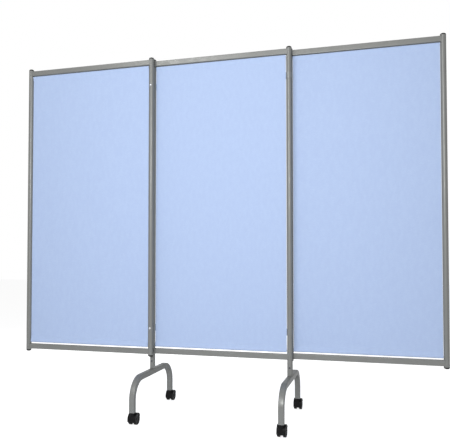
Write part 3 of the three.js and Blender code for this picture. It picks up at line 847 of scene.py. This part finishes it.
def caster_housing(node, body, axle_node, stem_node):
    """Hood, middle disc and stem boss in one, with a bore for the axle and a well for the stem."""
    axle, stem = middle(axle_node), middle(stem_node)
    top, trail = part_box(node)[1].z - axle.z, stem.y - axle.y
    shell = shape_of(softened(f"{node}_shell", hood(), HOOD_EDGE, HOOD_EDGE_ANGLE))
    disc = bar(CORE_DISC_RADIUS, 2 * CORE_HALF_WIDTH, CASTER_SEGMENTS, CORE_DISC_EDGE)
    disc = moved(disc, (-CORE_HALF_WIDTH, 0, 0), ALONG_X)
    boss = moved(bar(BOSS_RADIUS, top, CAP_SEGMENTS, BOSS_EDGE), (0, trail, 0))
    bore = bar(AXLE_RADIUS + SEAT_GAP, 2 * HOOD_HALF_WIDTH, edge=0)
    bore = moved(bore, (-HOOD_HALF_WIDTH, 0, 0), ALONG_X)
    well = bar(STEM_RADIUS + SEAT_GAP, STEM_WELL_CUT, edge=0)
    well = moved(well, (0, trail, top - STEM_WELL_DEPTH))
    parts = [("UNION", disc), ("UNION", boss), ("DIFFERENCE", bore), ("DIFFERENCE", well)]
    mesh = combined(node, shell, parts, HOUSING_SHARP_ANGLE)
    mesh.transform(Matrix.Translation(axle))
    piece(f"{node}_hood", mesh, CASTER_NYLON, body, [node])


def wheel_profile(radius, width):
    """(radius, depth) round a wheel's section, depth from its inner face to its outer one."""
    bore = AXLE_RADIUS + SEAT_GAP
    profile = [(bore, 0), (radius - WHEEL_INNER_FACE, 0)]
    inner = (TREAD_INNER_EDGE, radius - TREAD_INNER_EDGE)
    outer = (width - TREAD_OUTER_EDGE, radius - TREAD_OUTER_EDGE)
    tread = arc(inner, TREAD_INNER_EDGE, 180, 90, TREAD_INNER_STEPS)
    tread += arc(outer, TREAD_OUTER_EDGE, 90, 0, TREAD_OUTER_STEPS)
    profile += [(r, depth) for depth, r in tread]
    profile += [(radius - inset * MM, width - depth * MM) for inset, depth in WHEEL_DISH]
    profile += [(hub * MM, width - depth * MM) for hub, depth in WHEEL_HUB]
    return profile + [(bore, profile[-1][1])]


def wheel(node, outward):
    """A wheel on its own body of the same name, its dished face along X or against it."""
    place, size = middle(node), extent(node)
    shape = turned(wheel_profile(WHEEL_RADIUS, size.x), CASTER_SEGMENTS, closed=True)
    spin = ALONG_X if outward > 0 else HALF_TURN @ ALONG_X
    shape = moved(shape, (place.x - outward * size.x / 2, place.y, place.z), spin)
    mesh = mesh_of(node, shape, WHEEL_SHARP_ANGLE)
    piece(f"{node}_tyre", mesh, WHEEL_NYLON, node, [node])


def caster_axle(node, body):
    """The pin through both wheels, and the black caps pressed over its ends."""
    pin = mesh_of(node, bar_between(node, AXLE_RADIUS, AXLE_EDGE))
    piece(f"{node}_pin", pin, ZINC, body, [node])
    bore, depth = AXLE_RADIUS + HUB_CAP_PLAY, HUB_CAP_HEIGHT - HUB_CAP_WALL
    profile = [(0, depth), (bore, depth), (bore, 0), (HUB_CAP_RADIUS, 0)]
    profile += dome(HUB_CAP_RADIUS, HUB_CAP_EDGE, HUB_CAP_HEIGHT - HUB_CAP_EDGE)
    seat = extent(node).x / 2 - HUB_CAP_SEAT
    cap_shape = moved(turned(profile, SMALL_SEGMENTS, closed=True), (seat, 0, 0), ALONG_X)
    caps = moved(joined(cap_shape, moved(cap_shape, turn=HALF_TURN)), middle(node))
    piece(f"{node}_hub_caps", mesh_of(f"{node}_caps", caps), CASTER_NYLON, body)


def caster_stem(node):
    """The steel pin, and the black sleeve that fills the foot tube with its collar showing."""
    low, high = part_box(node)
    place, side = middle(node), high.x - low.x
    pin = moved(bar(STEM_RADIUS, high.z - low.z, edge=STEM_EDGE), (place.x, place.y, low.z))
    piece(f"{node}_pin", mesh_of(f"{node}_pin", pin), ZINC, "base")
    inset = TUBE_WALL + SEAT_GAP
    outer = rounded_square(side, FOOT_CORNER)
    inner = rounded_square(side - 2 * inset, FOOT_CORNER - inset)
    heights = [(outer, COLLAR_FOOT), (outer, COLLAR_TOP), (inner, COLLAR_TOP), (inner, SLEEVE_TOP)]
    rings = [[(place.x + u, place.y + v, z) for u, v in section] for section, z in heights]
    mesh = mesh_of(node, skin(rings))
    piece(f"{node}_sleeve", mesh, CASTER_NYLON, "base", [node])


# Hinge clips and their screws

CLIP_WALL = 1.5 * MM
CLIP_WEB = 2 * MM
CLIP_WEB_WIDTH = 18 * MM
CLIP_WING_ANGLE = math.radians(55)
CLIP_SEGMENTS = 96
CLIP_SHARP_ANGLE = 30
CUT_OVERRUN = 2 * MM
# Half the width and the rearward reach of the block that cuts the saddle off behind its wings
CUT_HALF_WIDTH = 40 * MM
CUT_REACH = 90 * MM
SCREW_RADIUS = 5 * MM
SCREW_HEIGHT = 3 * MM
SCREW_RIM = 0.5 * MM
SCREW_SUNK = 1 * MM
SCREW_SHARP_ANGLE = 35
# The cross recess: half its length, half its width, and how high its floor lies in the head
RECESS_LONG = 2.4 * MM
RECESS_SHORT = 0.5 * MM
RECESS_FLOOR = 1.5 * MM


def clip_shape(height, leg_radius, stile_radius, spacing):
    """The clip along Z, its ring round the origin and its saddle round a stile at -Y."""
    ring_radius = leg_radius + SEAT_GAP + CLIP_WALL
    saddle_radius = stile_radius + SEAT_GAP + CLIP_WALL

    def rod(radius, y, overrun=0):
        length = height + 2 * overrun
        return moved(bar(radius, length, CLIP_SEGMENTS, 0), (0, y, -overrun))

    wing_foot = -spacing + stile_radius * math.cos(CLIP_WING_ANGLE)
    behind = block(
        (-CUT_HALF_WIDTH, -CUT_REACH, -CUT_OVERRUN),
        (CUT_HALF_WIDTH, wing_foot, height + CUT_OVERRUN))
    saddle = combined("clip_saddle", rod(saddle_radius, -spacing), [("DIFFERENCE", behind)])
    middle_y = -leg_radius - SEAT_GAP - CLIP_WEB / 2
    reach, half = CLIP_WEB / 2 + CLIP_WALL, CLIP_WEB_WIDTH / 2
    web = block((-half, middle_y - reach, 0), (half, middle_y + reach, height))
    cuts = [
        ("UNION", shape_of(saddle)), ("UNION", web),
        ("DIFFERENCE", rod(leg_radius + SEAT_GAP, 0, CUT_OVERRUN)),
        ("DIFFERENCE", rod(stile_radius + SEAT_GAP, -spacing, CUT_OVERRUN)),
    ]
    return combined("clip", rod(ring_radius, 0), cuts, CLIP_SHARP_ANGLE)


def screw_shape():
    """A pan head screw with a cross recess, its head along Z from the origin."""
    profile = [(0, -SCREW_SUNK), (SCREW_RADIUS, -SCREW_SUNK)]
    profile += dome(SCREW_RADIUS, SCREW_RIM, SCREW_HEIGHT - SCREW_RIM)
    top = SCREW_HEIGHT + CUT_OVERRUN
    recess = []
    for across, along in ((RECESS_LONG, RECESS_SHORT), (RECESS_SHORT, RECESS_LONG)):
        slot = block((-across, -along, RECESS_FLOOR), (across, along, top))
        recess.append(("DIFFERENCE", slot))
    return combined("screw", turned(profile, SMALL_SEGMENTS), recess, SCREW_SHARP_ANGLE)


def hinges(side, body):
    """A side panel's two clips, from its leg post to its stile, and their screws."""
    leg, stile_node = f"{side}_leg_post", f"{side}_inner_stile"
    leg_place, stile_place = middle(leg), middle(stile_node)
    spacing = abs(stile_place.y - leg_place.y)
    radii = extent(leg).x / 2, extent(stile_node).x / 2
    out = -1 if stile_place.y < leg_place.y else 1
    turn = Matrix.Identity(4) if out < 0 else HALF_TURN.to_4x4()
    for level in ("upper", "lower"):
        node = f"{side}_{level}_hinge_clip"
        low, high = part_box(node)
        mesh = clip_shape(high.z - low.z, *radii, spacing)
        mesh.transform(Matrix.Translation((leg_place.x, leg_place.y, low.z)) @ turn)
        piece(f"{node}_strip", mesh, CLIP_PAINT, body, [node])
        head = screw_shape()
        face = Vector((stile_place.x, stile_place.y + out * radii[1], middle(node).z))
        head.transform(Matrix.Translation(face) @ turn @ TO_FRONT.to_4x4())
        piece(f"{node}_screw", head, ZINC, body)


# Curtains

CURTAIN_THICKNESS = 1 * MM
POCKET_RADIUS = 4.8 * MM
POCKET_DEPTH = 22 * MM
POCKET_STEPS = 4
ROD_WRAP_STEPS = 14
HEM_TAIL = 6 * MM
TAIL_GAP = 0.15 * MM
COLUMN_PITCH = 8 * MM
ROW_PITCH = 20 * MM
CLOTH_SHARP_ANGLE = 50
RIPPLE = 0.7 * MM
RIPPLE_REACH = 88 * MM
# Noises that add up to the ripple: (share, rate along X, place of the layer, rate along Z)
RIPPLE_LAYERS = ((1, 7, 3.7, 1.1), (0.4, 19, 9.1, 2.3))
PUCKER = 0.18 * MM
PUCKER_PITCH = 13 * MM
PUCKER_REACH = 18 * MM
PUCKER_DRIFT = 2.5
PUCKER_DRIFT_RATE = 30
PUCKER_DRIFT_LAYER = (1, 0.5)
SEAM_INSET = 2 * MM
STITCH_PITCH = 3.2 * MM
STITCH_LENGTH = 2.3 * MM
STITCH_RADIUS = 0.28 * MM
STITCH_SEGMENTS = 6
STITCH_SHARP_ANGLE = 60
# A stitch's outline as shares: (of its radius, of its half length)
STITCH_OUTLINE = ((0, -1), (0.75, -0.8), (1, 0), (0.75, 0.8), (0, 1))


def curtain_line(low, high):
    """The cloth's middle line (y, z): rear tail, over the top rod, under the bottom one, tail."""
    tail = CURTAIN_THICKNESS + TAIL_GAP
    top_seam, bottom_seam = high - POCKET_DEPTH, low + POCKET_DEPTH
    line = [(tail, top_seam - HEM_TAIL), (tail, top_seam)]
    line += between((tail, top_seam), (POCKET_RADIUS, high), POCKET_STEPS)
    line += arc((0, high), POCKET_RADIUS, 0, 180, ROD_WRAP_STEPS)
    line += between((-POCKET_RADIUS, high), (0, top_seam), POCKET_STEPS)
    rows = round((top_seam - bottom_seam) / ROW_PITCH)
    line += [(0, top_seam), *between((0, top_seam), (0, bottom_seam), rows), (0, bottom_seam)]
    line += between((0, bottom_seam), (-POCKET_RADIUS, low), POCKET_STEPS)
    line += arc((0, low), POCKET_RADIUS, 180, 360, ROD_WRAP_STEPS)
    line += between((POCKET_RADIUS, low), (tail, bottom_seam), POCKET_STEPS)
    return line + [(tail, bottom_seam), (tail, bottom_seam + HEM_TAIL)]


def line_normals(line):
    """The unit normal (y, z) at each point of a line, on its right as it runs."""
    normals = []
    for index in range(len(line)):
        before, after = line[max(0, index - 1)], line[min(len(line) - 1, index + 1)]
        run = Vector((after[0] - before[0], after[1] - before[1])).normalized()
        normals.append((run.y, -run.x))
    return normals


def ripple(x, z, low, high):
    """How far the stretched cloth stands out at a place: long soft tension waves, and puckers
    along the seams, both dying away towards the pockets' rods."""
    inside = min(z - low, high - z)
    calm = min(1.0, max(0.0, inside / RIPPLE_REACH))
    wave = sum(
        share * noise.noise(Vector((x * across, layer, z * down)))
        for share, across, layer, down in RIPPLE_LAYERS)
    near = math.exp(-((inside - POCKET_DEPTH) / PUCKER_REACH) ** 2)
    drift = PUCKER_DRIFT * noise.noise(Vector((x * PUCKER_DRIFT_RATE, *PUCKER_DRIFT_LAYER)))
    pucker = math.sin(2 * math.pi * x / PUCKER_PITCH + drift)
    return calm * RIPPLE * wave + near * PUCKER * pucker


def curtain(panel, body):
    """A panel's cloth with a pocket round each rod, and the stitching that rides with it."""
    node = f"{panel}_curtain"
    low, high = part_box(node)
    rods = [middle(f"{panel}_bottom_rod"), middle(f"{panel}_top_rod")]
    line = curtain_line(rods[0].z, rods[1].z)
    normals = line_normals(line)
    columns = round((high.x - low.x) / COLUMN_PITCH)
    half = CURTAIN_THICKNESS / 2
    rings = []
    for column in range(columns + 1):
        x = low.x + (high.x - low.x) * column / columns
        front, back = [], []
        for (y, z), (ny, nz) in zip(line, normals):
            out = rods[0].y + y + ripple(x, z, rods[0].z, rods[1].z)
            front.append((x, out + ny * half, z + nz * half))
            back.append((x, out - ny * half, z - nz * half))
        rings.append(front + back[::-1])
    mesh = mesh_of(node, skin(rings), CLOTH_SHARP_ANGLE)
    cloth = piece(f"{node}_cloth", mesh, CLOTH, body, [node])
    seams = stitching(f"{node}_stitching", body, (low.x, high.x), rods)


def stitching(name, body, span, rods):
    """Rows of short sewn stitches along both pocket seams, on the front and on the rear tail."""
    bottom, top = rods
    face = CURTAIN_THICKNESS / 2
    rear = face + CURTAIN_THICKNESS + TAIL_GAP
    shapes = []
    count = int((span[1] - span[0]) / STITCH_PITCH) - 1
    seam = POCKET_DEPTH + SEAM_INSET
    for z in (bottom.z + seam, top.z - seam):
        for number in range(count):
            x = span[0] + STITCH_PITCH * (number + 1)
            out = ripple(x, z, bottom.z, top.z)
            for y in (bottom.y - face + out, bottom.y + rear + out):
                shapes.append(moved(stitch(), (x, y, z), ALONG_X))
    mesh = mesh_of(name, joined(*shapes), STITCH_SHARP_ANGLE)
    return piece(name, mesh, THREAD, body)


def stitch():
    """One stitch along Z: a thin spindle of thread."""
    half = STITCH_LENGTH / 2
    profile = [(STITCH_RADIUS * r, half * h) for r, h in STITCH_OUTLINE]
    return turned(profile, STITCH_SEGMENTS)


# The whole screen

# Each panel's body, and the upright tubes at its left and right
PANELS = {
    "center": ("base", "left_leg_post", "right_leg_post"),
    "left": ("left_panel", "left_outer_stile", "left_inner_stile"),
    "right": ("right_panel", "right_inner_stile", "right_outer_stile"),
}


def dress_panels():
    """The three panels' rails, rods and curtains, and the side panels' stiles and clips."""
    for panel, (body, first_post, last_post) in PANELS.items():
        for level in ("top", "bottom"):
            rail(f"{panel}_{level}_rail", body, first_post, last_post)
        curtain(panel, body)
        for level in ("top", "bottom"):
            curtain_rod(f"{panel}_{level}_rod", body)
    for side in ("left", "right"):
        body = f"{side}_panel"
        for place in ("inner", "outer"):
            stile(f"{side}_{place}_stile", body)
            cap(f"{side}_{place}_top_cap", body)
            cap(f"{side}_{place}_bottom_plug", body, upside_down=True)
        hinges(side, body)


def dress_feet():
    """The leg posts, and the feet with their buttons and casters."""
    for side in ("left", "right"):
        leg_post(f"{side}_leg_post", f"{side}_foot_arch")
        cap(f"{side}_leg_cap", "base")
        foot_arch(f"{side}_foot_arch", f"{side}_leg_post")
        snap_button(f"{side}_snap_button", f"{side}_button", f"{side}_leg_post")
        for end in ("front", "rear"):
            name = f"{side}_{end}"
            body, axle, stem = f"{name}_caster", f"{name}_caster_axle", f"{name}_caster_stem"
            caster_stem(stem)
            caster_housing(f"{name}_caster_housing", body, axle, stem)
            caster_axle(axle, body)
            wheel(f"{name}_right_wheel", 1)
            wheel(f"{name}_left_wheel", -1)


# Studio

WORLD_LEVEL = 0.28
FLOOR_SIZE = 30
FLOOR_LIFT = 0.72
LIGHT_AIM = (0.0, 0.0, 1.0)

# Soft lights: place, size and power
LIGHTS = {
    "key_light": ((0.25, -2.65, 1.65), 0.9, 40),
    "high_light": ((-1.2, -2.9, 2.95), 0.8, 22),
    "rear_light": ((-0.8, 3.2, 1.3), 1.5, 45),
}


def white_to_lens(nodes, links):
    """1 for the camera's rays and for reflected and refracted ones, so that they see white."""
    path = nodes.new("ShaderNodeLightPath")
    total = path.outputs["Is Camera Ray"]
    for name in ("Is Glossy Ray", "Is Transmission Ray"):
        node = nodes.new("ShaderNodeMath")
        node.operation = "MAXIMUM"
        links.new(total, node.inputs[0])
        links.new(path.outputs[name], node.inputs[1])
        total = node.outputs["Value"]
    return total


def make_world():
    """A soft grey world for the light, which the camera sees as white."""
    world = bpy.data.worlds.new("studio")
    bpy.context.scene.world = world
    world.use_nodes = True
    nodes, links = world.node_tree.nodes, world.node_tree.links
    ambient = nodes["Background"]
    ambient.inputs["Color"].default_value = WHITE
    ambient.inputs["Strength"].default_value = WORLD_LEVEL
    white = nodes.new("ShaderNodeBackground")
    white.inputs["Color"].default_value = WHITE
    white.inputs["Strength"].default_value = 1.0
    mix = nodes.new("ShaderNodeMixShader")
    links.new(white_to_lens(nodes, links), mix.inputs["Fac"])
    links.new(ambient.outputs["Background"], mix.inputs[1])
    links.new(white.outputs["Background"], mix.inputs[2])
    links.new(mix.outputs["Shader"], nodes["World Output"].inputs["Surface"])


def make_floor():
    """A pale floor that shows white to the camera, but for the soft shadows under the casters."""
    half = FLOOR_SIZE / 2
    points = [(-half, -half, 0), (half, -half, 0), (half, half, 0), (-half, half, 0)]
    mesh = bpy.data.meshes.new("floor")
    mesh.from_pydata(points, [], [(0, 1, 2, 3)])
    floor = new_object("floor", mesh)
    surface = Surface("floor_white", srgb(238, 238, 238), 0.9, specular=0)
    surface.shader.inputs["Emission Color"].default_value = WHITE
    lift = surface.math("MULTIPLY", white_to_lens(surface.nodes, surface.links), FLOOR_LIFT)
    surface.links.new(lift, surface.shader.inputs["Emission Strength"])
    mesh.materials.append(surface.material)


def soft_light(name, place, size, power):
    """A square light, unseen itself. Only those in front show in reflections."""
    data = bpy.data.lights.new(name, "AREA")
    data.shape = "SQUARE"
    data.size = size
    data.energy = power
    lamp = new_object(name, data)
    lamp.location = place
    lamp.rotation_mode = "QUATERNION"
    lamp.rotation_quaternion = (Vector(LIGHT_AIM) - Vector(place)).to_track_quat("-Z", "Y")
    lamp.visible_camera = False
    lamp.visible_glossy = place[1] < 0


def make_camera():
    """The photograph's camera, turned by its yaw, pitch and roll."""
    data = bpy.data.cameras.new("photo_camera")
    data.sensor_width = SENSOR_WIDTH
    data.lens = FOCAL_PIXELS / IMAGE_WIDTH * SENSOR_WIDTH
    data.shift_x = (IMAGE_WIDTH / 2 - AXIS_PIXEL_X) / IMAGE_WIDTH
    data.shift_y = (AXIS_PIXEL_Y - IMAGE_HEIGHT / 2) / IMAGE_WIDTH
    data.clip_end = FAR_CLIP
    camera = new_object("photo_camera", data)
    level = math.cos(CAMERA_PITCH)
    east, north = math.sin(CAMERA_YAW), math.cos(CAMERA_YAW)
    ahead = Vector((east * level, north * level, math.sin(CAMERA_PITCH)))
    right = Vector((north, -east, 0))
    up = right.cross(ahead)
    across = right * math.cos(CAMERA_ROLL) + up * math.sin(CAMERA_ROLL)
    upward = up * math.cos(CAMERA_ROLL) - right * math.sin(CAMERA_ROLL)
    turn = Matrix((across, upward, -ahead)).transposed()
    camera.matrix_world = Matrix.Translation(CAMERA_PLACE) @ turn.to_4x4()
    bpy.context.scene.camera = camera


make_camera()
dress_panels()
dress_feet()
make_world()
make_floor()
for light, (place, size, power) in LIGHTS.items():
    soft_light(light, place, size, power)
bpy.context.scene.view_settings.view_transform = "Standard"
